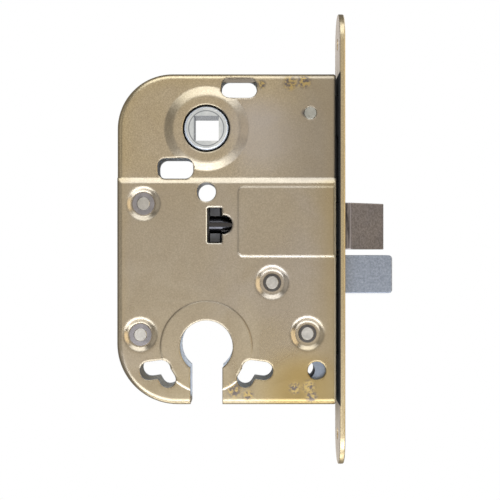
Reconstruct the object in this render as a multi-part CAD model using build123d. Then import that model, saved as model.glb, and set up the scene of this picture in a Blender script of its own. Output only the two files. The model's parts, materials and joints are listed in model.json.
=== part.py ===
from build123d import *
from math import cos, radians, sin
import os

# Mortise lock for a door edge.  Millimetres.
# Origin: centre of the forend's outer face, midway between its two fixing holes.
# +X is the way the bolts come out, +Z is up, +Y goes through the thickness of the door,
# from the pressed case shell towards the flat back plate.

# ---- driving dimensions ----
FOREND_HEIGHT = 165.0
FOREND_WIDTH = 22.0
FOREND_THICK = 2.0
FIXING_SPACING = 143.0          # door screws, centre to centre
FIXING_HOLE_R = 2.25
FIXING_SINK_R = 3.6

CASE_HEIGHT = 120.0
CASE_THICK = 15.0               # outside of shell to outside of back plate
CASE_FRONT = -3.0               # edge of the case next to the forend
CASE_REAR = -82.4
SHEET = 1.5
REAR_TOP_R = 20.0
REAR_BOTTOM_R = 22.0
EDGE_R = 2.2                    # outside radius of the folded edges
FRONT_EDGE_R = 0.8              # the fold beside the forend is sharper

BACKSET = 50.0                  # forend face to spindle and key cylinder
SPINDLE_Z = 40.0
CYLINDER_Z = -39.0              # 79 below the spindle
CYLINDER_R = 9.55
CYLINDER_SLOT = 11.6
PIVOT_Z = 17.0                  # fixing-screw hole that also carries the rocker

LATCH_THROW = 15.5
BOLT_THROW = 17.5
HANDLE_TURN = 40.0              # degrees
ROCKER_TURN = 47.0

LOOSE = 0.3                     # gap between parts of different bodies
RUN = 0.05                      # running clearance on a shaft

# ---- levels through the thickness (Y) ----
FACE_LOW = -CASE_THICK / 2      # outside of the shell, lower field
STEP = 1.2                      # the upper field lies this much deeper
FACE_UP = FACE_LOW + STEP
BACK_OUT = CASE_THICK / 2
BACK_IN = BACK_OUT - SHEET
INNER_LOW = FACE_LOW + SHEET
INNER_UP = FACE_UP + SHEET
PANEL_RISE = 0.3
RING_FACE = FACE_LOW - 0.25     # raised disc round the key cylinder
FIELD_BEVEL = 0.24
MOUTH = 0.22                    # bevel round punched holes
WINDOW_MOUTH = 0.42             # the latch window is deburred more

# ---- places on the case (X, Z) ----
SPINDLE = (-BACKSET, SPINDLE_Z)
CYLINDER = (-BACKSET, CYLINDER_Z)
PIVOT = (-BACKSET, PIVOT_Z)
STEP_FOOT = 20.2
STEP_TOP = 22.2
SCREW_SLOTS = [(-38.2, 54.9), (-61.3, 25.6)]     # for handle screws at 38 mm centres
SCREW_SLOT_SIZE = (13.0, 7.4)
POSTS = {
    "rear_upper_post": (-72.8, 12.8),
    "rear_lower_post": (-73.9, -34.7),
    "bolt_guide_post": (-26.2, -15.8),
    "front_lower_post": (-13.4, -34.3),
}
WIDE_WASHER_POSTS = ["rear_upper_post", "rear_lower_post"]
SMALL_RING_POSTS = ["bolt_guide_post", "front_lower_post"]
BLOCK_RIVET = (-12.3, 45.7)
LOWER_SCREW_Z = -47.6
INSPECTION_HOLE = (-10.06, -47.6)
INSPECTION_R = 3.25

LATCH_Z = 4.7
LATCH_HEIGHT = 17.0
LATCH_HALF = 5.8
LATCH_BACK = -14.0
ROD_Z = 5.2
ROD_R = 3.2
CROSSPIECE_X = (-49.1, -44.8)
BOLT_Z = -12.8
BOLT_HEIGHT = 13.8
BOLT_HALF = 5.3
BOLT_BACK = -5.2
TAIL_HALF = 2.0
BOLT_PIN = (-59.0, -13.0)       # guide pin in the tail's rear slot
DETENT_X = -50.0                # detent's nose

TUBE_R = 4.6                    # outside of the pivot tube
SCREW_HOLE_R = 3.45             # through hole for a fixing screw
HUB_HOLE_R = 8.56
HUB_R = 7.95

# ---- rocker linkage ----
NOSE_RADIUS = 12.6              # follower's lower nose
NOSE_R = 1.8
NOSE_START = -5.0               # degrees right of straight down
STUD = (-47.2, 0.4)             # latch stud that the rocker pulls
STUD_R = 2.0
SLOT_PLAY = 0.22
SPRING_NOSE_R = 2.0             # follower's upper nose
ROCKER_Y = (3.8, 5.7)

PLUNGER_Z = 51.6
PLUNGER_R = 1.6
PLUNGER_FACE = SPINDLE[0] + 12.0 * sin(radians(8.0)) - SPRING_NOSE_R - 0.4
PLUNGER_STOP_X = -65.5


# ---- drawing helpers ----
def slab(sketch, y_low, y_high):
    """A sketch drawn in X and Z, given thickness along Y."""
    face = Plane(origin=(0, y_high, 0), x_dir=(1, 0, 0), z_dir=(0, -1, 0))
    return extrude(face * sketch, y_high - y_low)


def block(x, y, z):
    """A box from its (low, high) pair along each axis."""
    size = [pair[1] - pair[0] for pair in (x, y, z)]
    middle = [(pair[1] + pair[0]) / 2 for pair in (x, y, z)]
    return Pos(*middle) * Box(*size)


def disc(centre, radius, y_low, y_high):
    return slab(Pos(*centre) * Circle(radius), y_low, y_high)


def rod_x(y, z, radius, x_low, x_high):
    turned = Pos((x_low + x_high) / 2, y, z) * Rot(0, 90, 0)
    return turned * Cylinder(radius, x_high - x_low)


def rectangle(x, z, corner=0.0):
    """A rectangle in X and Z, from its (low, high) pairs."""
    width, height = x[1] - x[0], z[1] - z[0]
    shape = RectangleRounded(width, height, corner) if corner else Rectangle(width, height)
    return Pos((x[0] + x[1]) / 2, (z[0] + z[1]) / 2) * shape


def turned_y(centre, points):
    """A body of revolution round a Y axis; points are (radius, y)."""
    profile = make_face(Polyline(*[(r, y, 0) for r, y in points], close=True))
    about_y = Pos(centre[0], 0, centre[1])
    return about_y * revolve(profile, Axis.Y)


def link(first, first_r, second, second_r):
    """Two round ends and the straight sides that join them."""
    return make_hull((Pos(*first) * Circle(first_r) + Pos(*second) * Circle(second_r)).edges())


def swept_slot(points, half_width, y_low, y_high):
    """The space that a round pin sweeps along a line of points."""
    slot = Part()
    for start, end in zip(points, points[1:]):
        slot += slab(link(start, half_width, end, half_width), y_low, y_high)
    return slot


def flare(sketch, y_face, mouth=MOUTH):
    """Bevelled mouth of a punched hole in the shell's face at y_face."""
    inner = Plane(origin=(0, y_face + mouth, 0), x_dir=(1, 0, 0), z_dir=(0, -1, 0))
    return extrude(inner * sketch, 2 * mouth, taper=-45)


def turn(point, degrees_ccw):
    """A point turned round the origin, counter-clockwise as seen from the shell side."""
    c, s = cos(radians(degrees_ccw)), sin(radians(degrees_ccw))
    return (point[0] * c - point[1] * s, point[0] * s + point[1] * c)


def coil(x_low, x_high, y, z, mean_radius, wire, turns):
    """A compression spring along X between two faces."""
    length = x_high - x_low - wire
    pitch = length / turns
    path = Helix(pitch, length, mean_radius)
    section = Plane(path @ 0, z_dir=path % 0) * Circle(wire / 2)
    spring = sweep(section, path)
    return Pos(x_low + wire / 2, y, z) * Rot(0, 90, 0) * spring


# ---- outlines shared by the shell and the back plate ----
def case_outline(inset):
    """Outline of the case in X and Z, with its two large rear corners."""
    x = (CASE_REAR + inset, CASE_FRONT - inset)
    z = (inset - CASE_HEIGHT / 2, CASE_HEIGHT / 2 - inset)
    outline = rectangle(x, z)
    rear = outline.vertices().sort_by(Axis.X)[0:2].sort_by(Axis.Y)
    outline = fillet(rear[0], REAR_BOTTOM_R - inset)
    rear_top = outline.vertices().sort_by(Axis.Y)[-2:].sort_by(Axis.X)[0]
    return fillet(rear_top, REAR_TOP_R - inset)


def screw_slots():
    slots = Sketch()
    for centre in SCREW_SLOTS:
        slots += Pos(*centre) * RectangleRounded(*SCREW_SLOT_SIZE, 3.0)
    return slots


def cylinder_keyhole():
    slot_x = (CYLINDER[0] - CYLINDER_SLOT / 2, CYLINDER[0] + CYLINDER_SLOT / 2)
    slot = rectangle(slot_x, (-CASE_HEIGHT / 2 - 5, CYLINDER[1]))
    return Pos(*CYLINDER) * Circle(CYLINDER_R) + slot


def lightening_holes():
    """Bent holes low on each side of the cylinder."""
    outer, middle, inner = (20.8, -8.7), (16.2, -8.1), (14.0, -11.8)
    wide, narrow = 3.3, 2.96
    holes = Sketch()
    for side in (1, -1):
        ends = [(CYLINDER[0] + side * x, CYLINDER[1] + z) for x, z in (outer, middle, inner)]
        holes += link(ends[0], wide, ends[1], wide) + link(ends[1], narrow, ends[2], narrow)
    return holes


def common_holes():
    """What goes through both sides of the case."""
    holes = screw_slots() + cylinder_keyhole() + lightening_holes()
    holes += Pos(*PIVOT) * Circle(SCREW_HOLE_R)
    holes += Pos(*INSPECTION_HOLE) * Circle(INSPECTION_R)
    holes += Pos(*SPINDLE) * Circle(HUB_HOLE_R)
    for centre in POSTS.values():
        holes += Pos(*centre) * Circle(2.4)
    holes += Pos(*BLOCK_RIVET) * Circle(2.2)
    return holes


def latch_window():
    """Slot with a half-round bay, through which the latch's crosspiece shows."""
    window = rectangle((-49.7, -44.35), (-1.4, 11.3), 0.5)
    return window + Pos(-44.0, 5.2) * Circle(3.4)


# ---- case shell ----
def folded_edges(body, radius):
    """Rounds the edges of the face towards the viewer, the one beside the forend the least."""
    rims = body.faces().sort_by(Axis.Y)[0].edges().sort_by(Axis.X)
    body = fillet(rims[:-1], radius)
    beside_forend = body.faces().sort_by(Axis.Y)[0].edges().sort_by(Axis.X)[-1]
    return fillet(beside_forend, min(radius, FRONT_EDGE_R))


def tray_form(inset):
    """The shell's outer form, or with an inset its inside."""
    radius = max(EDGE_R - inset, 0.6)
    low, up = FACE_LOW + inset, FACE_UP + inset
    open_side = BACK_IN + (5 if inset else 0)

    upper = folded_edges(slab(case_outline(inset), up, open_side), radius)
    lower = folded_edges(slab(case_outline(inset), low, open_side), radius)
    above = Polyline((0, low - 1, STEP_FOOT), (0, low, STEP_FOOT), (0, up, STEP_TOP), (0, 30, STEP_TOP),
                     (0, 30, 100), (0, low - 1, 100), close=True)
    lower -= Pos(100, 0, 0) * extrude(make_face(above), 300, dir=(-1, 0, 0))
    return upper + lower


def boss_form(inset):
    """Round boss for the follower bush, raised to the level of the lower field."""
    top = FACE_LOW + inset
    base = FACE_UP + inset
    return turned_y(SPINDLE, [(0, top), (11.3, top), (11.9, top + 0.06), (12.5, top + 0.22),
                              (15.4, base), (15.4, base + 0.5), (0, base + 0.5)])


def dimple_form(centre, inset):
    """Shallow round dimple in the lower field that a riveted post ends in."""
    top, floor = FACE_LOW + inset, FACE_UP + inset
    return turned_y(centre, [(0, top - 1), (6.8, top - 1), (6.8, top), (6.3, top + 0.06), (5.8, top + 0.24),
                             (4.7, floor - 0.2), (4.4, floor - 0.04), (4.1, floor), (0, floor)])


def raised_fields():
    """The latch panel and the disc round the cylinder stand a little proud."""
    ring = disc(CYLINDER, 16.6, RING_FACE, FACE_LOW + 0.5)
    ring = chamfer(ring.faces().sort_by(Axis.Y)[0].edges(), FIELD_BEVEL)
    return [latch_panel(), ring]


def latch_panel():
    """Raised field over the latch; it runs out round the folded front edge."""
    face = FACE_LOW - PANEL_RISE
    panel = slab(rectangle((-38.6, CASE_FRONT), (-6.4, 18.9)), face, face + EDGE_R + 1)
    panel = fillet(panel.edges().filter_by(Axis.Y).sort_by(Axis.X)[:2], 2.0)
    folded = panel.edges().filter_by(Axis.Z).group_by(Axis.Y)[0].sort_by(Axis.X)[-1]
    panel = fillet(folded, FRONT_EDGE_R + PANEL_RISE)
    outline = panel.faces().sort_by(Axis.Y)[0].edges().sort_by(Axis.X)[:-1]
    return chamfer(outline, FIELD_BEVEL)


def front_wall_windows():
    """Openings in the shell's front wall for the bolts and mounting blocks."""
    x = (CASE_FRONT - SHEET - 1, CASE_FRONT + 1)
    latch = block(x, (-6.2, 6.2), (LATCH_Z - 8.9, LATCH_Z + 8.9))
    bolt = block(x, (-5.8, BACK_IN), (BOLT_Z - 7.3, BOLT_Z + 7.3))
    upper = block(x, (-4.8, BACK_IN), (37.9, 52.1))
    lower = block(x, (-6.0, BACK_IN), (-55.1, -41.9))
    return latch + bolt + upper + lower


def case_shell():
    outside = tray_form(0) + boss_form(0)
    for field in raised_fields():
        outside += field
    inside = tray_form(SHEET) + boss_form(SHEET)
    for centre in POSTS.values():
        outside -= dimple_form(centre, 0)
        inside -= dimple_form(centre, SHEET)
    shell = outside - inside
    shell -= slab(common_holes() + latch_window(), FACE_LOW - 3, INNER_UP + 2)
    shell -= flare(screw_slots(), FACE_UP) + flare(latch_window(), FACE_LOW, WINDOW_MOUTH)
    shell -= flare(Pos(*SPINDLE) * Circle(HUB_HOLE_R), FACE_LOW)
    shell -= flare(lightening_holes(), FACE_LOW) + flare(cylinder_keyhole(), RING_FACE)
    shell -= flare(Pos(*PIVOT) * Circle(SCREW_HOLE_R), FACE_LOW)
    shell -= flare(Pos(*INSPECTION_HOLE) * Circle(INSPECTION_R), FACE_LOW)
    slot_x = (CYLINDER[0] - CYLINDER_SLOT / 2, CYLINDER[0] + CYLINDER_SLOT / 2)
    shell -= block(slot_x, (-20, 20), (-CASE_HEIGHT / 2 - 5, CYLINDER[1]))
    shell -= front_wall_windows()
    return shell


def back_plate():
    plate = slab(case_outline(0.15), BACK_IN, BACK_OUT)
    plate = chamfer(plate.faces().sort_by(Axis.Y)[-1].edges(), 0.3)
    return plate - slab(common_holes(), BACK_IN - 1, BACK_OUT + 1)


# ---- forend ----
def forend():
    outline = RectangleRounded(FOREND_WIDTH, FOREND_HEIGHT, FOREND_WIDTH / 2 - 0.001)
    inner_face = Plane(origin=(-FOREND_THICK, 0, 0), x_dir=(0, 1, 0), z_dir=(1, 0, 0))
    plate = extrude(inner_face * outline, FOREND_THICK)
    plate = fillet(plate.faces().sort_by(Axis.X)[-1].edges(), 0.5)
    plate = chamfer(plate.faces().sort_by(Axis.X)[0].edges(), 0.2)
    for z in (FIXING_SPACING / 2, -FIXING_SPACING / 2):
        plate -= rod_x(0, z, FIXING_HOLE_R, -3, 1)
        plate -= screw_sink(z, FIXING_SINK_R, FIXING_HOLE_R)
    for z in (BLOCK_RIVET[1], LOWER_SCREW_Z):
        plate -= rod_x(0, z, 2.1, -3, 1)
        plate -= screw_sink(z, 3.9, 2.1)
    plate -= block((-3, 1), (-6.1, 6.1), (LATCH_Z - 8.8, LATCH_Z + 8.8))
    plate -= block((-3, 1), (-5.6, 5.6), (BOLT_Z - 7.2, BOLT_Z + 7.2))
    return plate


def screw_sink(z, mouth, throat):
    """Countersink open at the forend's outer face."""
    depth = mouth - throat
    return Pos(-depth / 2, 0, z) * Rot(0, 90, 0) * Cone(throat, mouth, depth)


def forend_screws():
    """Two countersunk machine screws with a cross recess."""
    screws = Part()
    for z in (BLOCK_RIVET[1], LOWER_SCREW_Z):
        screw = Pos(-0.95, 0, z) * Rot(0, 90, 0) * Cone(2.0, 3.75, 1.75)
        screw += rod_x(0, z, 2.0, -9.5, -1.8)
        recess = block((-1.3, 0.2), (-1.9, 1.9), (z - 0.4, z + 0.4))
        recess += block((-1.3, 0.2), (-0.4, 0.4), (z - 1.9, z + 1.9))
        screws += screw - recess
    return screws


def mounting_block(x_back, z, y_low, cross_holes):
    """Cast block that a forend screw bites in."""
    body = block((x_back, -FOREND_THICK), (y_low, BACK_IN), z)
    for x, z_hole, radius in cross_holes:
        body -= disc((x, z_hole), radius, y_low - 1, BACK_IN + 1)
    return body


def upper_mounting_block():
    x, z = BLOCK_RIVET
    return mounting_block(-16.0, (38.0, 52.0), INNER_UP, [(x, z, 2.2)]) - rod_x(0, z, 2.0, -10.0, 0)


def lower_mounting_block():
    z = LOWER_SCREW_Z
    return mounting_block(-20.0, (-55.0, -42.0), INNER_LOW, [(-13.9, z, 3.25)]) - rod_x(0, z, 2.0, -10.0, 0)


# ---- rivets and posts ----
def post(centre):
    """Distance post between the two sides, riveted over at each end."""
    body = disc(centre, 3.0, INNER_UP, BACK_IN)
    tenon = disc(centre, 2.4, FACE_UP - 0.55, BACK_OUT)
    tenon = chamfer(tenon.edges().filter_by(GeomType.CIRCLE), 0.25)
    return body + tenon


def post_rings(names, outer, thick):
    """Rings staked round the riveted ends, in the dimples."""
    rings = Part()
    for name in names:
        ring = disc(POSTS[name], outer, FACE_UP - thick, FACE_UP)
        ring = chamfer(ring.faces().sort_by(Axis.Y)[0].edges(), 0.15)
        rings += ring - disc(POSTS[name], 2.45, FACE_UP - 2, FACE_UP + 2)
    return rings


def block_rivet():
    rivet = disc(BLOCK_RIVET, 2.2, FACE_UP - 0.15, BACK_OUT)
    return chamfer(rivet.edges().filter_by(GeomType.CIRCLE), 0.12)


def pivot_tube():
    """Spacer tube round the fixing-screw hole; the rocker turns on it."""
    tube = disc(PIVOT, TUBE_R, INNER_LOW, BACK_IN) & tray_form(SHEET)
    return tube - disc(PIVOT, SCREW_HOLE_R, INNER_LOW - 1, BACK_IN + 1)


# ---- follower ----
def follower_bush(y_low, y_high):
    return disc(SPINDLE, HUB_HOLE_R, y_low, y_high) - disc(SPINDLE, HUB_R + RUN, y_low - 1, y_high + 1)


def follower_hub():
    """Hub with the spindle square, the nose that works the rocker and the spring arm."""
    hub = disc(SPINDLE, 9.0, INNER_LOW + LOOSE, ROCKER_Y[0] - 0.4)
    face = disc(SPINDLE, HUB_R, FACE_LOW - 0.1, BACK_OUT)
    hub += chamfer(face.edges().filter_by(GeomType.CIRCLE), 0.7)
    waist = disc(SPINDLE, 30, ROCKER_Y[0] - 0.4, BACK_IN - 0.05) - disc(SPINDLE, 7.0, 0, 9)
    hub -= waist

    nose = turn((0, -NOSE_RADIUS), NOSE_START)
    nose_at = (SPINDLE[0] + nose[0], SPINDLE[1] + nose[1])
    arms = link(SPINDLE, 5.0, nose_at, 2.4) + link(SPINDLE, 1.6, spring_nose(), 1.6)
    arms += Pos(*spring_nose()) * Circle(SPRING_NOSE_R)
    hub += slab(arms, INNER_UP + 0.5, ROCKER_Y[0] - 0.4)
    hub += disc(nose_at, NOSE_R, 0, ROCKER_Y[1])

    square = block((SPINDLE[0] - 4.5, SPINDLE[0] + 4.5), (-9, 9), (SPINDLE[1] - 4.5, SPINDLE[1] + 4.5))
    return hub - square


def spring_nose():
    """Centre of the nose on the follower's upper arm that pushes the plunger."""
    x, z = turn((0, 12.0), -8.0)
    return (SPINDLE[0] + x, SPINDLE[1] + z)


def plunger():
    """Headed plunger that hands the spring's push to the follower."""
    head = block((PLUNGER_FACE - 3.0, PLUNGER_FACE), (-3.4, 3.3), (49.6, 54.4))
    head = fillet(head.edges().filter_by(Axis.Y), 0.6)
    rod = rod_x(0, PLUNGER_Z, PLUNGER_R, -66.8, PLUNGER_FACE - 2.5)
    return head + chamfer(rod.edges().sort_by(Axis.X)[0], 0.5)


def plunger_stop():
    body = block((-69.5, PLUNGER_STOP_X), (INNER_UP, BACK_IN), (47.6, 54.5))
    return body - rod_x(0, PLUNGER_Z, PLUNGER_R + RUN, -75, -60)


def plunger_spring():
    return coil(PLUNGER_STOP_X, PLUNGER_FACE - 3.0, 0, PLUNGER_Z, 2.6, 0.8, 4)


# ---- rocker ----
def nose_in_rocker(share):
    """Place of the follower's nose in the rocker, at a share of the handle's turn."""
    nose = turn((0, -NOSE_RADIUS), NOSE_START + share * HANDLE_TURN)
    from_pivot = (nose[0], nose[1] + SPINDLE_Z - PIVOT_Z)
    return turn(from_pivot, share * ROCKER_TURN)


def stud_in_rocker(share):
    """Place of the latch's stud in the rocker, at a share of the latch's travel."""
    from_pivot = (STUD[0] - PIVOT[0] - share * LATCH_THROW, STUD[1] - PIVOT[1])
    return turn(from_pivot, share * ROCKER_TURN)


def rocker():
    """Two-armed lever: the follower's nose turns it and it draws the latch in."""
    shares = [i / 8 for i in range(-1, 10)]
    through = (ROCKER_Y[0] - 1, ROCKER_Y[1] + 1)
    nose_slot = swept_slot([nose_in_rocker(s) for s in shares], NOSE_R + SLOT_PLAY, *through)
    stud_slot = swept_slot([stud_in_rocker(s) for s in shares], STUD_R + SLOT_PLAY, *through)

    upper_arm = Polygon((-4.7, 0), (6.5, 0), (6.2, 9.0), (4.6, 14.2), (-0.4, 14.9), (-4.7, 12.2),
                        align=None)
    lower_arm = Polygon((-4.0, 0), (-2.8, -16.0), (-1.4, -24.0), (8.4, -24.0), (8.2, -16.0), (6.0, 0),
                        align=None)
    lever = slab(Circle(7.0) + upper_arm + lower_arm - Circle(TUBE_R + RUN), *ROCKER_Y)
    lever -= nose_slot + stud_slot
    return Pos(PIVOT[0], 0, PIVOT[1]) * lever


# ---- latch ----
def latch_head():
    """Sintered latch with its bevel on the shell side."""
    z = (LATCH_Z - LATCH_HEIGHT / 2, LATCH_Z + LATCH_HEIGHT / 2)
    profile = Polyline((LATCH_BACK, -LATCH_HALF, z[0]), (2.6, -LATCH_HALF, z[0]), (LATCH_THROW, 4.6, z[0]),
                       (LATCH_THROW, LATCH_HALF, z[0]), (LATCH_BACK, LATCH_HALF, z[0]), close=True)
    head = extrude(make_face(profile), LATCH_HEIGHT, dir=(0, 0, 1))
    head = fillet(head.edges().filter_by(lambda e: e.center().X > -10), 0.35)
    return head - rod_x(0, ROD_Z, ROD_R, LATCH_BACK - 1, LATCH_BACK + 6)


def latch_rod():
    return rod_x(0, ROD_Z, ROD_R, CROSSPIECE_X[0], LATCH_BACK + 6) - latch_rod_pin()


def latch_crosspiece():
    """Forked block on the rod's end; its stud stands in the rocker's slot."""
    body = block(CROSSPIECE_X, (-4.5, ROCKER_Y[0] - LOOSE), (-1.0, 11.5))
    body = fillet(body.edges().filter_by(Axis.Z), 0.5)
    body -= rod_x(0, ROD_Z, ROD_R, -60, -40) + latch_rod_pin()
    body -= block((-60, -40), (-5, 0), (ROD_Z - ROD_R, ROD_Z + ROD_R))
    return body + disc(STUD, STUD_R, ROCKER_Y[0] - 1, ROCKER_Y[1])


def latch_rod_pin():
    """Pin through crosspiece and rod end, standing along Z."""
    return Pos(sum(CROSSPIECE_X) / 2, 0, LATCH_Z + 0.55) * Cylinder(0.8, 12.5)


def latch_guide():
    body = block((-40.0, -38.0), (INNER_LOW, BACK_IN), (-0.6, 12.0))
    return body - rod_x(0, ROD_Z, ROD_R + RUN, -45, -30)


def latch_spring():
    return coil(-38.0, LATCH_BACK, 0, ROD_Z, 4.5, 1.1, 7)


# ---- deadbolt ----
def bolt_head():
    height = (BOLT_Z - BOLT_HEIGHT / 2, BOLT_Z + BOLT_HEIGHT / 2)
    head = block((BOLT_BACK, BOLT_THROW), (-BOLT_HALF, BOLT_HALF), height)
    tip = head.edges().filter_by(Axis.Y).sort_by(Axis.X)[-2:]
    head = fillet(tip, 1.3)
    rim = head.faces().sort_by(Axis.Y)[0].edges() + head.faces().sort_by(Axis.Y)[-1].edges()
    head = fillet(rim.filter_by(lambda e: e.center().X > BOLT_BACK + 1), 0.4)
    head -= block((BOLT_BACK - 1, 6.0), (-TAIL_HALF, TAIL_HALF), (-12.0, -7.4))
    dimple_relief = block((BOLT_BACK - 1, -1.7), (-9, INNER_UP + 0.4), (-30, 0))
    head -= dimple_relief
    return head - disc((-2.5, -9.7), 1.2, -8, 8)


def bolt_tail():
    """Flat tail with two guide slots, detent notches and the legs that the cylinder's cam drives."""
    x_left, x_right = -62.9, BOLT_BACK
    outline = rectangle((x_left, x_right), (-22.6, -7.0))
    outline += rectangle((x_right - 1, 6.0), (-12.0, -7.4))
    outline += rectangle((-50.7, -46.4), (-28.5, -20.0)) + rectangle((-37.7, -33.3), (-28.5, -20.0))

    guide_x, guide_z = POSTS["bolt_guide_post"]
    outline -= rectangle((guide_x, x_right + 0.01), (guide_z - 3.25, guide_z + 3.25))
    outline -= Pos(guide_x, guide_z) * Circle(3.25)
    pin_x, pin_z = BOLT_PIN
    middle = Pos(pin_x + BOLT_THROW / 2, pin_z)
    outline -= middle * SlotCenterToCenter(BOLT_THROW, 2 * (1.8 + 0.25))
    for x in (DETENT_X, DETENT_X + BOLT_THROW):
        outline -= Polygon((x - 2.6, -6.9), (x + 2.6, -6.9), (x + 0.5, -8.8), (x - 0.5, -8.8), align=None)
    return slab(outline, -TAIL_HALF, TAIL_HALF) - disc((-2.5, -9.7), 1.2, -8, 8)


def bolt_rivet():
    return disc((-2.5, -9.7), 1.2, INNER_UP + 0.4, BOLT_HALF)


def bolt_guide_pin():
    """Shouldered pin fixed between the case sides, in the tail's rear slot."""
    return disc(BOLT_PIN, 1.8, INNER_LOW, BACK_IN)


def detent_bracket():
    body = block((-36.0, -31.0), (INNER_LOW, BACK_IN), (-5.6, -1.2))
    return body - block((-37.0, -33.0), (-1.8, 1.8), (-3.7, -3.2))


def detent_spring():
    """Leaf spring whose nose drops in a notch of the tail at each end of its travel."""
    middle = [(-33.1, -3.45), (-37.0, -3.45), (-44.0, -3.6), (-47.6, -5.4), (-49.6, -8.1),
              (-50.4, -8.1), (-53.6, -5.0)]
    leaf = trace(Polyline(*middle), 0.45)
    return slab(leaf, -1.7, 1.7)


NODES = {
    "case_shell": case_shell,
    "back_plate": back_plate,
    "forend": forend,
    "forend_screws": forend_screws,
    "upper_mounting_block": upper_mounting_block,
    "lower_mounting_block": lower_mounting_block,
    "block_rivet": block_rivet,
    "wide_post_washers": lambda: post_rings(WIDE_WASHER_POSTS, 4.1, 0.4),
    "small_post_rings": lambda: post_rings(SMALL_RING_POSTS, 3.3, 0.4),
    "pivot_tube": pivot_tube,
    "follower_bush_front": lambda: follower_bush(FACE_LOW + MOUTH, INNER_LOW),
    "follower_bush_back": lambda: follower_bush(BACK_IN, BACK_OUT),
    "follower_hub": follower_hub,
    "plunger": plunger,
    "plunger_spring": plunger_spring,
    "plunger_stop": plunger_stop,
    "rocker": rocker,
    "latch_head": latch_head,
    "latch_rod": latch_rod,
    "latch_crosspiece": latch_crosspiece,
    "latch_rod_pin": latch_rod_pin,
    "latch_guide": latch_guide,
    "latch_spring": latch_spring,
    "bolt_head": bolt_head,
    "bolt_tail": bolt_tail,
    "bolt_rivet": bolt_rivet,
    "bolt_guide_pin": bolt_guide_pin,
    "detent_bracket": detent_bracket,
    "detent_spring": detent_spring,
}

os.makedirs("parts", exist_ok=True)
for name, make in NODES.items():
    export_step(make(), f"parts/{name}.step")
for name, centre in POSTS.items():
    export_step(post(centre), f"parts/{name}.step")
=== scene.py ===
import json
import math

import bpy
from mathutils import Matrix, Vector


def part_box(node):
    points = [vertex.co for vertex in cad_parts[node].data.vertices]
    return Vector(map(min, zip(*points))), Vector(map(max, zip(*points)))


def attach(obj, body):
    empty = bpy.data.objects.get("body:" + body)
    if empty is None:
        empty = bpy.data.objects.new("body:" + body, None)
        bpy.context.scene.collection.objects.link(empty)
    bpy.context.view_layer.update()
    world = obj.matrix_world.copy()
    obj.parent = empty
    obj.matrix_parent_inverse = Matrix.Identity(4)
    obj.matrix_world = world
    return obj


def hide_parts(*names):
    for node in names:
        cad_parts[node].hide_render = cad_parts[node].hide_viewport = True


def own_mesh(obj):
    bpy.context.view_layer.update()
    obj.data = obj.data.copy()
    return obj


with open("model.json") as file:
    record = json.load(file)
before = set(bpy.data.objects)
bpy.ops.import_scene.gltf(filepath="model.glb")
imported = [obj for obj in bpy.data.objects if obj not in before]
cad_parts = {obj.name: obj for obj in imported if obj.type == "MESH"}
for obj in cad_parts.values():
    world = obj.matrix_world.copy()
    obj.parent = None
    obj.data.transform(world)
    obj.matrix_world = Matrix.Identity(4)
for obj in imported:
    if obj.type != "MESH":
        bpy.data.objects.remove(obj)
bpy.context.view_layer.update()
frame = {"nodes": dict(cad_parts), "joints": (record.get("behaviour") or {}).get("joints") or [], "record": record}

MM = 0.001


# ---- places read from the frame ----
def middle_of(node):
    """X and Z of the middle of a CAD node's box."""
    low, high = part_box(node)
    return (low.x + high.x) / 2, (low.z + high.z) / 2


def mount_place(name):
    """X and Z of one of the record's mounts."""
    mount = next(mount for mount in frame["record"]["mounts"] if mount["name"] == name)
    x, _, z = mount["pos_m"]
    return x, z


def travel_of(name):
    """How far a sliding joint goes from rest."""
    joint = next(joint for joint in frame["joints"] if joint["name"] == name)
    return joint["range_m"][1]


SHELL_LOW, SHELL_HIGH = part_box("case_shell")
FOREND_LOW, FOREND_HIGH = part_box("forend")
HUB_X, HUB_Z = middle_of("follower_bush_front")
RIVET_X, RIVET_Z = middle_of("block_rivet")
CYLINDER_X, CYLINDER_Z = mount_place("key_cylinder")

# ---- places of the painted details ----
CORNER_R = 20 * MM                          # round the case's rear corners
STEP_FOOT, STEP_TOP = 20 * MM, 22 * MM      # heights between which the upper field begins
FIELD_FOOT = (-39.5 * MM, SHELL_HIGH.x - 0.5 * MM, -7.2 * MM, -4.8 * MM)    # latch field's lower edge
WINDOW = (-51.8 * MM, -41.0 * MM, -3.4 * MM, 13.8 * MM)                     # round the latch window
RING_R = 16.6 * MM                          # raised disc round the key cylinder
HUB_LINE_R = 6.35 * MM                      # turned line on the hub's face
HUB_RIM_R = 7.2 * MM                        # where the hub's rim starts
LATCH_ROOT = FOREND_HIGH.x + 2.2 * MM       # where the latch's bevel starts
STAINS_MM = [                               # X, Z and size of the blots near the upper and lower edge
    (-14.5, 57.0, 2.6), (-19.5, 56.5, 2.8), (-30.0, 56.0, 1.6),
    (-13.0, -53.5, 2.4), (-18.0, -54.0, 2.2), (-12.0, -57.0, 2.2), (-40.0, -54.5, 3.0), (-35.0, -56.5, 2.0),
]
STAIN_SPREAD = 1.35                         # a blot has faded out at this many times its size

# ---- colours that more than one finish uses ----
TAN, LILAC, GOLD = (0.50, 0.425, 0.315), (0.49, 0.430, 0.365), (0.54, 0.425, 0.235)
# black for the painted shade in the crack beside the forend
PAINTED_SHADE_BLACK = (0.006, 0.006, 0.006)


# ---- camera ----
CAMERA_PLACE = (-0.0342, -0.402, -0.0040)   # metres
LENS = 78.6                                 # millimetres, on a 36 mm wide sensor


def make_camera():
    """Square on to the case, level with its middle and close, as for a catalogue picture."""
    data = bpy.data.cameras.new("camera")
    data.sensor_width = 36.0
    data.lens = LENS
    data.clip_start = 0.01
    camera = bpy.data.objects.new("camera", data)
    camera.location = CAMERA_PLACE
    camera.rotation_euler = (math.radians(90), 0, 0)
    bpy.context.scene.collection.objects.link(camera)
    bpy.context.scene.camera = camera


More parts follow.
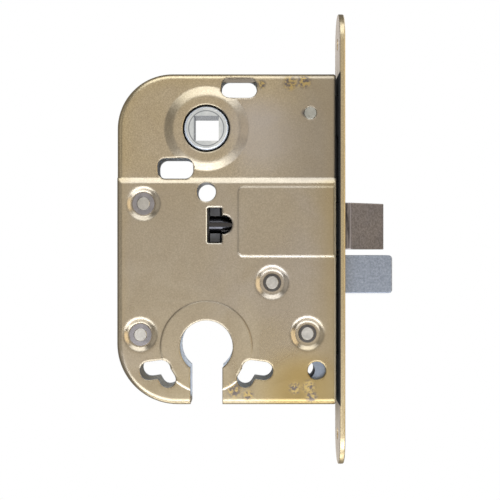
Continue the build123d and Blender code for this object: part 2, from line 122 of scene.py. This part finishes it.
# ---- light ----
LOCK_MIDDLE = (-0.04, 0, 0)
LIGHTS = {      # name: place, aim, width and height, power in watts, colour
    "top_box": ((-0.03, -0.26, 0.42), LOCK_MIDDLE, (0.60, 0.36), 1.6, (0.88, 0.95, 1.06)),
    "low_box": ((-0.03, -0.29, -0.27), LOCK_MIDDLE, (0.60, 0.22), 1.95, (0.86, 0.94, 1.10)),
    "front_wall": ((-0.10, -1.00, 0.05), LOCK_MIDDLE, (1.00, 0.90), 1.40, (1.0, 0.93, 0.82)),
    "right_box": ((0.46, -0.20, 0.05), LOCK_MIDDLE, (0.45, 0.50), 1.2, (1.0, 0.86, 0.62)),
    "left_box": ((-0.52, -0.22, 0.02), LOCK_MIDDLE, (0.20, 0.50), 0.17, (0.97, 0.98, 1.0)),
    "under_box": ((-0.04, -0.02, -0.34), LOCK_MIDDLE, (0.40, 0.10), 0.35, (0.95, 0.98, 1.0)),
    "upper_rim": ((-0.06, 0.60, 0.225), (0, 0, 0.075), (0.25, 0.15), 0.12, (0.98, 0.95, 1.0)),
    "lower_rim": ((-0.06, 0.60, -0.225), (0, 0, -0.075), (0.25, 0.15), 0.12, (0.98, 0.95, 1.0)),
    "back_fill": ((0.55, 0.45, 0.40), LOCK_MIDDLE, (0.60, 0.60), 2.0, (1, 1, 1)),
}
ROOM_COLOUR, ROOM_STRENGTH = (1.0, 0.99, 0.98, 1), 0.26


def make_lights():
    """Soft boxes on the camera's side, two small ones behind for the forend's ends, one for the back."""
    for name, (place, aim, size, power, colour) in LIGHTS.items():
        data = bpy.data.lights.new(name, "AREA")
        data.shape = "RECTANGLE"
        data.size, data.size_y = size
        data.energy = power
        data.color = colour
        lamp = bpy.data.objects.new(name, data)
        lamp.location = place
        lamp.rotation_euler = (Vector(aim) - Vector(place)).to_track_quat("-Z", "Y").to_euler()
        lamp.visible_camera = False
        bpy.context.scene.collection.objects.link(lamp)


def make_world():
    """White to the camera, and a soft grey room to everything else."""
    world = bpy.data.worlds.new("studio")
    world.use_nodes = True
    tree = world.node_tree
    tree.nodes.clear()
    out = tree.nodes.new("ShaderNodeOutputWorld")
    mix = tree.nodes.new("ShaderNodeMixShader")
    path = tree.nodes.new("ShaderNodeLightPath")
    room = tree.nodes.new("ShaderNodeBackground")
    white = tree.nodes.new("ShaderNodeBackground")
    room.inputs["Color"].default_value = ROOM_COLOUR
    room.inputs["Strength"].default_value = ROOM_STRENGTH
    white.inputs["Color"].default_value = (1, 1, 1, 1)
    white.inputs["Strength"].default_value = 1.0
    tree.links.new(path.outputs["Is Camera Ray"], mix.inputs[0])
    tree.links.new(room.outputs[0], mix.inputs[1])
    tree.links.new(white.outputs[0], mix.inputs[2])
    tree.links.new(mix.outputs[0], out.inputs[0])
    bpy.context.scene.world = world
    bpy.context.scene.view_settings.view_transform = "Standard"


# ---- materials ----
class Paint:
    """Builds one procedural material round a Principled shader."""

    def __init__(self, name):
        self.material = bpy.data.materials.new(name)
        self.material.use_nodes = True
        self.tree = self.material.node_tree
        self.tree.nodes.clear()
        out = self.node("ShaderNodeOutputMaterial")
        self.shader = self.node("ShaderNodeBsdfPrincipled")
        self.tree.links.new(self.shader.outputs[0], out.inputs[0])
        self.where = self.node("ShaderNodeTexCoord").outputs["Object"]
        self.facing = self.node("ShaderNodeNewGeometry").outputs["Normal"]

    def node(self, kind, **settings):
        made = self.tree.nodes.new(kind)
        for key, value in settings.items():
            setattr(made, key, value)
        return made

    def plug(self, socket, value):
        """Links an output to the socket, or sets a plain value on it."""
        if isinstance(value, bpy.types.NodeSocket):
            self.tree.links.new(value, socket)
        elif isinstance(value, (tuple, list)) and len(value) == 3 and socket.type == "RGBA":
            socket.default_value = (*value, 1)
        else:
            socket.default_value = value

    def set(self, **inputs):
        for key, value in inputs.items():
            self.plug(self.shader.inputs[key.replace("_", " ")], value)
        return self.material

    # -- numbers --
    def math(self, how, a, b=0.0):
        made = self.node("ShaderNodeMath", operation=how)
        self.plug(made.inputs[0], a)
        self.plug(made.inputs[1], b)
        return made.outputs[0]

    def times(self, *factors):
        product = factors[0]
        for factor in factors[1:]:
            product = self.math("MULTIPLY", product, factor)
        return product

    def most(self, *values):
        largest = values[0]
        for value in values[1:]:
            largest = self.math("MAXIMUM", largest, value)
        return largest

    def rest(self, value):
        """What is left of 1."""
        return self.math("SUBTRACT", 1.0, value)

    def between(self, value, low, high, out_low=0.0, out_high=1.0):
        """A smooth step from out_low at low to out_high at high; low may be the larger one."""
        made = self.node("ShaderNodeMapRange", interpolation_type="SMOOTHSTEP")
        for socket, given in zip(made.inputs, (value, low, high, out_low, out_high)):
            self.plug(socket, given)
        return made.outputs[0]

    def ridge(self, value, place, wide, narrow):
        """1 within narrow of a place on a scale, fading to 0 at wide."""
        away = self.math("ABSOLUTE", self.math("SUBTRACT", value, place))
        return self.between(away, wide, narrow)

    # -- places --
    def part(self, vector, name):
        made = self.node("ShaderNodeSeparateXYZ")
        self.plug(made.inputs[0], vector)
        return made.outputs[name]

    def axis(self, name):
        return self.part(self.where, name)

    def facing_axis(self, name):
        return self.part(self.facing, name)

    def stretched(self, scale, offset=(0, 0, 0)):
        mapping = self.node("ShaderNodeMapping")
        self.plug(mapping.inputs["Vector"], self.where)
        mapping.inputs["Scale"].default_value = scale
        mapping.inputs["Location"].default_value = offset
        return mapping.outputs[0]

    def distance(self, x, z):
        """Distance in metres from a line that runs along Y through the place."""
        made = self.node("ShaderNodeVectorMath", operation="SUBTRACT")
        self.plug(made.inputs[0], self.where)
        made.inputs[1].default_value = (x, 0, z)
        flat = self.node("ShaderNodeVectorMath", operation="MULTIPLY")
        self.plug(flat.inputs[0], made.outputs[0])
        flat.inputs[1].default_value = (1, 0, 1)
        far = self.node("ShaderNodeVectorMath", operation="LENGTH")
        self.plug(far.inputs[0], flat.outputs[0])
        return far.outputs["Value"]

    def spot(self, x, z, radius, ragged=0.0):
        """1 near a place on the lock's face, fading to 0 at the radius."""
        distance = self.distance(x, z)
        if ragged:
            wave = self.math("SUBTRACT", self.noise(420, 3, 0.7), 0.5)
            distance = self.math("ADD", self.times(wave, ragged), distance)
        return self.between(distance, radius, radius * 0.3)

    def boxed(self, low_x, high_x, low_z, high_z, soft=0.1 * MM):
        """1 inside an upright rectangle on the lock's face."""
        x, z = self.axis("X"), self.axis("Z")
        across = self.times(self.between(x, low_x - soft, low_x), self.between(x, high_x + soft, high_x))
        upright = self.times(self.between(z, low_z - soft, low_z), self.between(z, high_z + soft, high_z))
        return self.times(across, upright)

    # -- patterns and colours --
    def noise(self, scale, detail=3.0, roughness=0.55, distortion=0.0, vector=None):
        made = self.node("ShaderNodeTexNoise")
        self.plug(made.inputs["Vector"], vector or self.where)
        made.inputs["Scale"].default_value = scale
        made.inputs["Detail"].default_value = detail
        made.inputs["Roughness"].default_value = roughness
        made.inputs["Distortion"].default_value = distortion
        return made.outputs["Fac"]

    def ramp(self, factor, *stops):
        """Colours or grey levels at places from 0 to 1."""
        made = self.node("ShaderNodeValToRGB")
        self.plug(made.inputs[0], factor)
        ramp = made.color_ramp
        while len(ramp.elements) < len(stops):
            ramp.elements.new(1.0)
        for element, (place, colour) in zip(ramp.elements, stops):
            element.position = place
            element.color = (*colour, 1) if isinstance(colour, tuple) else (colour, colour, colour, 1)
        return made.outputs[0]

    def mix(self, factor, a, b, how="MIX"):
        made = self.node("ShaderNodeMix", data_type="RGBA", blend_type=how)
        self.plug(made.inputs[0], factor)
        self.plug(made.inputs[6], a)
        self.plug(made.inputs[7], b)
        return made.outputs[2]

    def over(self, colour, coat, strength, mask):
        """The colour with a coat of another one laid over it, where the mask is 1."""
        return self.mix(self.times(mask, strength), colour, coat)

    def grained(self, colour, share, grain, *stops):
        """The colour made lighter and darker by a fine grain."""
        return self.mix(share, colour, self.ramp(grain, *stops), "OVERLAY")

    # -- relief --
    def edges(self, radius, samples=4):
        """1 along the sharp edges of the piece, 0 on its faces."""
        dot = self.node("ShaderNodeVectorMath", operation="DOT_PRODUCT")
        self.plug(dot.inputs[0], self.softened(radius, samples))
        self.plug(dot.inputs[1], self.facing)
        return self.between(dot.outputs["Value"], 0.995, 0.90)

    def softened(self, radius, samples=6):
        """The normal with edges and bends rounded off, as a pressed sheet has them."""
        soft = self.node("ShaderNodeBevel", samples=samples)
        soft.inputs["Radius"].default_value = radius
        return soft.outputs[0]

    def bump(self, height, strength, distance, under=None):
        made = self.node("ShaderNodeBump")
        made.inputs["Strength"].default_value = strength
        made.inputs["Distance"].default_value = distance
        self.plug(made.inputs["Height"], height)
        if under:
            self.plug(made.inputs["Normal"], under)
        return made.outputs[0]


def scaled(colour, factor):
    return tuple(min(1.0, factor * channel) for channel in colour)


# ---- painted shade: the dark crack between the case and the forend, painted black ----
def gap_shade_mask(paint):
    """1 in the dark crack between the case and the forend, where black is painted as shade."""
    left = paint.between(paint.axis("X"), SHELL_HIGH.x - 0.9 * MM, SHELL_HIGH.x - 0.1 * MM)
    right = paint.between(paint.axis("X"), FOREND_LOW.x + 0.45 * MM, FOREND_LOW.x + 0.2 * MM)
    height = paint.math("ABSOLUTE", paint.axis("Z"))
    along = paint.between(height, SHELL_HIGH.z + 0.2 * MM, SHELL_HIGH.z - 0.4 * MM)
    return paint.times(along, paint.times(left, right))


def with_painted_gap_shade(paint, colour, metallic, rough, deep_only=False):
    """Shader inputs of a finish that is painted black, dull and not metallic in the crack beside the forend:
    painted shade.
    """
    gap = gap_shade_mask(paint)
    if deep_only:
        gap = paint.times(gap, paint.between(paint.axis("Y"), SHELL_LOW.y + 0.4 * MM, SHELL_LOW.y + 1.8 * MM))
    return {
        "Base_Color": paint.mix(gap, colour, PAINTED_SHADE_BLACK),
        "Metallic": paint.times(metallic, paint.rest(gap)),
        "Roughness": paint.most(rough, gap),
    }


# ---- case and forend: yellow chromate on zinc ----
def chromate_colour(paint, golden):
    """Tan, drifting to lilac grey and to gold in soft clouds, with a fine grain."""
    cloud = paint.noise(26, 3, 0.5, 0.6)
    drift = paint.noise(11, 2, 0.5, 0.3, paint.stretched((1, 1, 0.7), (0.3, 0.1, 0.7)))
    base = paint.mix(paint.between(cloud, 0.42, 0.62), TAN, LILAC)
    base = paint.over(base, GOLD, 0.55, paint.between(drift, 0.46, 0.66))
    base = paint.mix(golden, base, GOLD)
    return paint.grained(base, 0.55, paint.noise(2100, 2, 0.65), (0.25, 0.30), (0.5, 0.50), (0.75, 0.74))


def rim_distance(paint):
    """How far a point is inside the rounded outline of the case, in metres."""
    square = []
    for axis, low, high in (("X", SHELL_LOW.x, SHELL_HIGH.x), ("Z", SHELL_LOW.z, SHELL_HIGH.z)):
        away = paint.math("ABSOLUTE", paint.math("SUBTRACT", paint.axis(axis), (low + high) / 2))
        over = paint.most(paint.math("SUBTRACT", away, (high - low) / 2 - CORNER_R), 0.0)
        square.append(paint.times(over, over))
    return paint.math("SUBTRACT", CORNER_R, paint.math("SQRT", paint.math("ADD", *square)))


def golden_share(paint, rim):
    """Where the case's plating is more golden: its rim, its front corners and its lower end."""
    return paint.most(
        paint.times(paint.between(rim, 7 * MM, 0.5 * MM), 0.55),
        paint.spot(-18 * MM, -58 * MM, 30 * MM),
        paint.times(paint.spot(-22 * MM, 58 * MM, 20 * MM), 0.6),
        paint.between(paint.axis("Z"), -5 * MM, -52 * MM, 0.0, 0.5),
    )


def field_tones_and_painted_shade(paint, colour):
    """Darker and paler stretches on the two fields of the case: paler and golden patches of the plating, painted
    shade on the upper field towards the forend, over the lower field and beside the forend, and darker towards the
    bottom.
    """
    colour = paint.over(colour, (0.56, 0.505, 0.46), 0.5, paint.spot(-30 * MM, 38 * MM, 18 * MM, 4 * MM))
    upper = paint.between(paint.axis("Z"), STEP_FOOT, STEP_TOP)
    lower = paint.rest(upper)
    to_front = paint.between(paint.axis("X"), -34 * MM, -8 * MM)
    # painted shade: the upper field darkens towards the forend, whose lip shades it
    colour = paint.over(colour, (0.31, 0.262, 0.205), 0.6, paint.times(upper, to_front))
    # painted shade: the lower field is darkened all over to even out the light from below
    colour = paint.over(colour, (0.40, 0.335, 0.245), 0.40, lower)
    colour = paint.over(colour, (0.40, 0.27, 0.085), 0.9, paint.spot(-14 * MM, -58 * MM, 22 * MM))
    # darker and browner towards the bottom
    foot = paint.between(paint.axis("Z"), -44 * MM, -54 * MM)
    colour = paint.over(colour, (0.36, 0.28, 0.15), 0.35, foot)
    # painted shade, partly golden tone: darker golden brown beside the forend on the lower field
    beside_forend = paint.between(paint.axis("X"), -15 * MM, -4 * MM)
    return paint.over(colour, (0.40, 0.305, 0.155), 0.5, paint.times(beside_forend, lower))


def stain_share(paint):
    """1 in the ragged blots near the upper and the lower edge."""
    blots = [paint.spot(x * MM, z * MM, STAIN_SPREAD * size * MM, 1.6 * MM) for x, z, size in STAINS_MM]
    return paint.most(*blots)


def cut_walls(paint, rim):
    """1 on the punched walls of holes, where the plating looks blue grey."""
    side = paint.between(paint.math("ABSOLUTE", paint.facing_axis("Y")), 0.40, 0.10)
    return paint.times(side, paint.between(rim, 2.6 * MM, 3.4 * MM))


def painted_highlight_bevels(paint):
    """1 on the lower bevel of the latch field and on the latch window's bevels, but for its right ones: where a
    highlight is painted.
    """
    near_face = paint.between(paint.axis("Y"), SHELL_LOW.y + 0.7 * MM, SHELL_LOW.y + 0.5 * MM)
    sloped = paint.between(paint.facing_axis("Y"), -0.985, -0.95)
    looks_down = paint.between(paint.facing_axis("Z"), -0.1, -0.3)
    looks_right = paint.between(paint.facing_axis("X"), -0.1, 0.1)
    field = paint.times(paint.boxed(*FIELD_FOOT), looks_down, 0.6)
    window = paint.times(paint.boxed(*WINDOW), looks_right)
    return paint.times(paint.times(sloped, near_face), paint.most(field, window))


def front_fold(paint):
    """1 on the case's fold beside the forend, where a reflection is painted."""
    on_fold = paint.between(paint.axis("X"), SHELL_HIGH.x - 0.8 * MM, SHELL_HIGH.x - 0.6 * MM)
    above = paint.between(paint.axis("Y"), SHELL_LOW.y + 1.2 * MM, SHELL_LOW.y + 0.9 * MM)
    return paint.times(on_fold, above)


def pressings_with_painted_light(paint, colour):
    """Colour and metallic with painted highlights on the pressed bevels and the ring's lower edge, painted shade
    on the ring's upper edge, and the fold beside the forend painted tan and less metallic as a painted reflection.
    """
    on_ring = paint.ridge(paint.distance(CYLINDER_X, CYLINDER_Z), RING_R, 0.35 * MM, 0.1 * MM)
    high_side = paint.between(paint.axis("Z"), CYLINDER_Z - 4 * MM, CYLINDER_Z + 2 * MM)
    low_side = paint.between(paint.axis("Z"), CYLINDER_Z - 8 * MM, CYLINDER_Z - 12 * MM)
    # painted shade in the crease on the ring's upper side
    colour = paint.over(colour, (0.14, 0.11, 0.08), 0.55, paint.times(on_ring, high_side))
    # painted highlights: near white cream and less metallic on the bevels and the ring's lower side
    bright = paint.most(painted_highlight_bevels(paint), paint.times(on_ring, low_side, 0.9))
    colour = paint.mix(bright, colour, (0.92, 0.84, 0.68))
    # painted reflection: the fold is tan and less metallic in place of the forend's golden face it would mirror
    fold = front_fold(paint)
    colour = paint.mix(fold, colour, (0.62, 0.50, 0.31))
    dull = paint.most(paint.times(bright, 0.75), paint.times(fold, 0.8))
    return colour, paint.rest(dull)


def chromated_case():
    paint = Paint("chromated_case")
    rim = rim_distance(paint)
    stain = stain_share(paint)
    colour = field_tones_and_painted_shade(paint, chromate_colour(paint, golden_share(paint, rim)))
    blotch = paint.ramp(paint.noise(900, 2, 0.6), (0.44, (0.15, 0.125, 0.115)), (0.58, (0.50, 0.36, 0.14)))
    colour = paint.over(colour, blotch, 0.95, stain)
    colour = paint.mix(cut_walls(paint, rim), colour, (0.40, 0.425, 0.46))
    nick = paint.spot(RIVET_X - 1.8 * MM, RIVET_Z, 2.0 * MM, 0.6 * MM)
    colour = paint.over(colour, (0.12, 0.115, 0.12), 0.85, nick)
    # painted highlights, painted shade and a painted reflection on the pressings and the fold
    colour, metallic = pressings_with_painted_light(paint, colour)
    smudge = paint.between(paint.noise(60, 4, 0.6, 0.8), 0.3, 0.7, 0.27, 0.35)
    rough = paint.math("ADD", smudge, paint.times(stain, 0.12))
    dents = paint.bump(paint.noise(45, 2, 0.5), 0.5, 0.12 * MM, paint.softened(0.9 * MM))
    normal = paint.bump(paint.noise(2600, 2, 0.6), 0.22, 0.03 * MM, dents)
    return paint.set(**with_painted_gap_shade(paint, colour, metallic, rough, deep_only=True), Normal=normal)


def golden_forend():
    """The forend is more golden than the case, drawn lengthwise, and worn paler on its edges."""
    paint = Paint("golden_forend")
    streak = paint.noise(40, 3, 0.6, 0.2, paint.stretched((1.0, 1.0, 0.12)))
    colour = chromate_colour(paint, paint.between(streak, 0.35, 0.65, 0.55, 1.0))
    colour = paint.over(colour, (0.70, 0.62, 0.50), 0.45, paint.edges(0.4 * MM))
    lines = paint.noise(900, 2, 0.6, 0.0, paint.stretched((1.0, 1.0, 0.03)))
    rough = paint.between(lines, 0.3, 0.7, 0.28, 0.40)
    normal = paint.bump(lines, 0.12, 0.03 * MM)
    return paint.set(**with_painted_gap_shade(paint, colour, 1.0, rough), Normal=normal)


# ---- the other metals ----
def blue_zinc(name, tint, rough, dull_inside=False):
    """Clear passivated zinc plate; the side that faces the inside of the case can be a dull white."""
    paint = Paint(name)
    cloud = paint.noise(70, 3, 0.6, 0.5)
    colour = paint.mix(paint.between(cloud, 0.35, 0.65), scaled(tint, 0.74), tint)
    colour = paint.over(colour, scaled(tint, 1.5), 0.5, paint.edges(0.3 * MM))
    spangle = paint.noise(1300, 2, 0.6)
    colour = paint.grained(colour, 0.25, spangle, (0.3, 0.35), (0.7, 0.68))
    metallic = 1.0
    if dull_inside:
        inside = paint.between(paint.facing_axis("Y"), -0.4, -0.6)
        colour = paint.mix(inside, colour, (0.78, 0.84, 0.90))
        metallic = paint.between(inside, 0.0, 1.0, 1.0, 0.1)
    normal = paint.bump(spangle, 0.18, 0.03 * MM)
    return paint.set(**with_painted_gap_shade(paint, colour, metallic, rough), Normal=normal)


def cast_bolt():
    """Die-cast deadbolt: blue grey, matt and grainy, rubbed brighter on its edges."""
    paint = Paint("cast_bolt")
    grain = paint.noise(1300, 3, 0.7)
    dark, middle, light = (0.17, 0.185, 0.215), (0.255, 0.275, 0.305), (0.36, 0.375, 0.41)
    colour = paint.ramp(grain, (0.30, dark), (0.5, middle), (0.72, light))
    cloud = paint.between(paint.noise(160, 3, 0.6), 0.35, 0.7, 0.0, 0.35)
    colour = paint.mix(cloud, colour, (0.28, 0.30, 0.33))
    colour = paint.over(colour, (0.42, 0.46, 0.52), 0.4, paint.edges(0.6 * MM))
    normal = paint.bump(grain, 0.45, 0.08 * MM)
    return paint.set(**with_painted_gap_shade(paint, colour, 0.85, 0.50), Normal=normal)


def sintered_latch():
    """Sintered latch head: dark, brownish, finely pitted; streaked at its root, rubbed at its corners."""
    paint = Paint("sintered_latch")
    along = paint.axis("X")
    cloud = paint.noise(150, 5, 0.65, 0.6)
    pits = paint.noise(1400, 3, 0.7)
    dark, middle, light = (0.115, 0.102, 0.100), (0.18, 0.162, 0.160), (0.26, 0.24, 0.24)
    colour = paint.ramp(cloud, (0.30, dark), (0.5, middle), (0.72, light))
    colour = paint.grained(colour, 0.45, pits, (0.3, 0.30), (0.7, 0.72))
    streak = paint.noise(1500, 3, 0.7, 0.0, paint.stretched((1.0, 1.0, 0.10)))
    root = paint.ramp(streak, (0.38, (0.05, 0.043, 0.042)), (0.62, (0.27, 0.235, 0.22)))
    colour = paint.mix(paint.between(along, LATCH_ROOT + 0.2 * MM, LATCH_ROOT), colour, root)
    fine = paint.between(paint.noise(1300, 4, 0.75), 0.35, 0.65)
    ground = paint.mix(fine, (0.100, 0.092, 0.098), (0.157, 0.147, 0.160))
    colour = paint.mix(paint.between(along, LATCH_ROOT, LATCH_ROOT + 0.2 * MM), colour, ground)
    light_line = paint.ridge(along, LATCH_ROOT, 0.35 * MM, 0.05 * MM)
    colour = paint.over(colour, (0.46, 0.41, 0.385), 0.6, light_line)
    colour = paint.over(colour, (0.62, 0.55, 0.50), 0.7, paint.edges(0.5 * MM))
    rough = paint.between(cloud, 0.3, 0.7, 0.46, 0.34)
    normal = paint.bump(pits, 0.30, 0.05 * MM)
    return paint.set(**with_painted_gap_shade(paint, colour, 0.95, rough), Normal=normal)


def plain_steel(name, tint, rough, grain_scale=1200):
    """Bare or blackened steel: faintly clouded and grained, rubbed brighter on its edges."""
    paint = Paint(name)
    grain = paint.noise(grain_scale, 3, 0.6)
    cloud = paint.noise(140, 3, 0.6, 0.4)
    colour = paint.mix(paint.between(cloud, 0.35, 0.65), scaled(tint, 0.7), tint)
    colour = paint.grained(colour, 0.3, grain, (0.3, 0.38), (0.7, 0.66))
    colour = paint.over(colour, scaled(tint, 1.35), 0.5, paint.edges(0.3 * MM))
    normal = paint.bump(grain, 0.2, 0.03 * MM)
    return paint.set(**with_painted_gap_shade(paint, colour, 1.0, rough), Normal=normal)


def hub_nickel():
    """Nickel plated hub: blue white, with a painted highlight on its rounded rim (near white and less metallic)
    and a turned line inside it.
    """
    paint = Paint("hub_nickel")
    grain = paint.noise(900, 3, 0.6)
    cloud = paint.noise(140, 3, 0.6, 0.4)
    colour = paint.mix(paint.between(cloud, 0.35, 0.65), (0.72, 0.77, 0.81), (0.90, 0.94, 0.97))
    colour = paint.grained(colour, 0.3, grain, (0.3, 0.38), (0.7, 0.66))
    radius = paint.distance(HUB_X, HUB_Z)
    line = paint.ridge(radius, HUB_LINE_R, 0.30 * MM, 0.08 * MM)
    colour = paint.over(colour, (0.16, 0.18, 0.21), 0.7, line)
    # painted highlight: the rounded rim is near white and less metallic
    rim = paint.between(radius, HUB_RIM_R, HUB_RIM_R + 0.25 * MM)
    colour = paint.mix(rim, colour, (0.88, 0.92, 0.96))
    metallic = paint.rest(paint.times(rim, 0.7))
    normal = paint.bump(grain, 0.2, 0.03 * MM)
    return paint.set(Base_Color=colour, Metallic=metallic, Roughness=0.22, Normal=normal)


def black_nylon():
    paint = Paint("black_nylon")
    speck = paint.noise(1600, 2, 0.6)
    colour = paint.ramp(speck, (0.3, 0.002), (0.7, 0.006))
    normal = paint.bump(speck, 0.15, 0.03 * MM)
    return paint.set(Base_Color=colour, Metallic=0.0, Roughness=0.75, Specular_IOR_Level=0.05, Normal=normal)


# ---- which node gets which finish ----
RIVETS = (
    "rear_upper_post", "rear_lower_post", "bolt_guide_post", "front_lower_post", "bolt_guide_pin",
    "latch_rod_pin", "bolt_rivet",
)
BLOCKS = ("upper_mounting_block", "lower_mounting_block", "plunger_stop", "detent_bracket")
BUSHES = ("follower_bush_front", "follower_bush_back")
SPRING_WIRE = ("plunger_spring", "latch_spring", "detent_spring")


def finishes_by_node():
    """Finish of every node that isn't plain inner steel."""
    finishes = {
        "case_shell": chromated_case(),
        "forend": golden_forend(),
        "back_plate": blue_zinc("back_plate_zinc", (0.50, 0.54, 0.58), 0.35, dull_inside=True),
        "forend_screws": plain_steel("screw_steel", (0.60, 0.60, 0.58), 0.3),
        "block_rivet": plain_steel("small_rivet_steel", (0.52, 0.51, 0.45), 0.40, 1500),
        "wide_post_washers": plain_steel("washer_steel", (0.36, 0.335, 0.335), 0.38),
        "small_post_rings": plain_steel("ring_steel", (0.15, 0.14, 0.13), 0.32),
        "follower_hub": hub_nickel(),
        "latch_head": sintered_latch(),
        "latch_rod": plain_steel("black_steel", (0.085, 0.08, 0.08), 0.22),
        "latch_crosspiece": plain_steel("black_cast", (0.14, 0.14, 0.145), 0.42, 700),
        "bolt_head": cast_bolt(),
    }
    finishes.update(dict.fromkeys(RIVETS, plain_steel("rivet_steel", (0.62, 0.58, 0.51), 0.42, 1500)))
    finishes.update(dict.fromkeys(BLOCKS, blue_zinc("block_zinc", (0.24, 0.26, 0.285), 0.5)))
    finishes.update(dict.fromkeys(BUSHES, black_nylon()))
    finishes.update(dict.fromkeys(SPRING_WIRE, plain_steel("spring_wire", (0.34, 0.34, 0.35), 0.25)))
    return finishes


def paint_nodes():
    """Gives every CAD node its finish, and returns the finishes."""
    finishes = finishes_by_node()
    inner = plain_steel("inner_steel", (0.42, 0.42, 0.42), 0.36)
    for name, node in frame["nodes"].items():
        node.data.materials.clear()
        node.data.materials.append(finishes.get(name, inner))
    return finishes


# ---- springs ----
SPRINGS = (      # CAD node, the joint that presses it, wire diameter, turns
    ("latch_spring", "latch_slide", 1.1 * MM, 7),
    ("plunger_spring", "plunger_slide", 0.8 * MM, 4),
)
STEPS_PER_TURN = 28
CLOSED_TURNS = 0.9      # at each end


def coil_points(low_x, high_x, y, z, mean_radius, wire, turns):
    """Middle line of a compression spring along X, with closed end turns."""
    count = int(turns * STEPS_PER_TURN) + 1
    closed = CLOSED_TURNS / turns
    first, last = low_x + 1.5 * wire, high_x - 1.5 * wire
    for i in range(count):
        share = i / (count - 1)
        along = min(max((share - 0.8 * closed) / (1 - 1.6 * closed), 0.0), 1.0)
        x = first + (last - first) * along
        x += wire * (min(share / closed, 1.0) - 1.0) + wire * max((share - 1 + closed) / closed, 0.0)
        angle = 2 * math.pi * turns * share
        yield (x, y + mean_radius * math.cos(angle), z + mean_radius * math.sin(angle), 1)


def coil_spring(name, points, wire, material):
    """A round wire along the points, as a mesh."""
    points = list(points)
    curve = bpy.data.curves.new(name, "CURVE")
    curve.dimensions = "3D"
    curve.bevel_depth = wire / 2
    curve.bevel_resolution = 4
    curve.use_fill_caps = True
    spline = curve.splines.new("POLY")
    spline.points.add(len(points) - 1)
    for made, point in zip(spline.points, points):
        made.co = point
    holder = bpy.data.objects.new(name, curve)
    mesh = bpy.data.meshes.new_from_object(holder)
    mesh.name = name
    bpy.data.objects.remove(holder)
    mesh.materials.clear()
    mesh.materials.append(material)
    for face in mesh.polygons:
        face.use_smooth = True
    spring = bpy.data.objects.new(name, mesh)
    bpy.context.scene.collection.objects.link(spring)
    return spring


def make_springs(wire_finish):
    """Wound springs in place of the CAD's plain tubes."""
    for node, joint, wire, turns in SPRINGS:
        low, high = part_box(node)
        y, z = (low.y + high.y) / 2, (low.z + high.z) / 2
        mean_radius = (high.z - low.z - wire) / 2
        points = coil_points(low.x, high.x, y, z, mean_radius, wire, turns)
        spring = coil_spring(node + "_coil", points, wire, wire_finish)
        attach(spring, "case")
        keep = 1 - travel_of(joint) / (high.x - low.x)
        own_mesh(spring)
        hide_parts(node)


# ---- surroundings ----
FLOOR_LEFT, FLOOR_RIGHT = -0.45, 0.45
FLOOR_FRONT, FLOOR_BACK = -0.45, 0.16
FLOOR_HEIGHT = -0.42


def make_floor():
    """A pale floor well below the lock, too low for the main camera to see."""
    mesh = bpy.data.meshes.new("floor")
    corners = [
        (FLOOR_LEFT, FLOOR_FRONT, FLOOR_HEIGHT), (FLOOR_RIGHT, FLOOR_FRONT, FLOOR_HEIGHT),
        (FLOOR_RIGHT, FLOOR_BACK, FLOOR_HEIGHT), (FLOOR_LEFT, FLOOR_BACK, FLOOR_HEIGHT),
    ]
    mesh.from_pydata(corners, [], [(0, 1, 2, 3)])
    floor = bpy.data.objects.new("floor", mesh)
    mesh.materials.append(Paint("floor_white").set(Base_Color=(0.86, 0.86, 0.85), Roughness=0.8))
    bpy.context.scene.collection.objects.link(floor)


make_camera()
make_lights()
make_world()
finishes = paint_nodes()
make_springs(finishes["plunger_spring"])
make_floor()
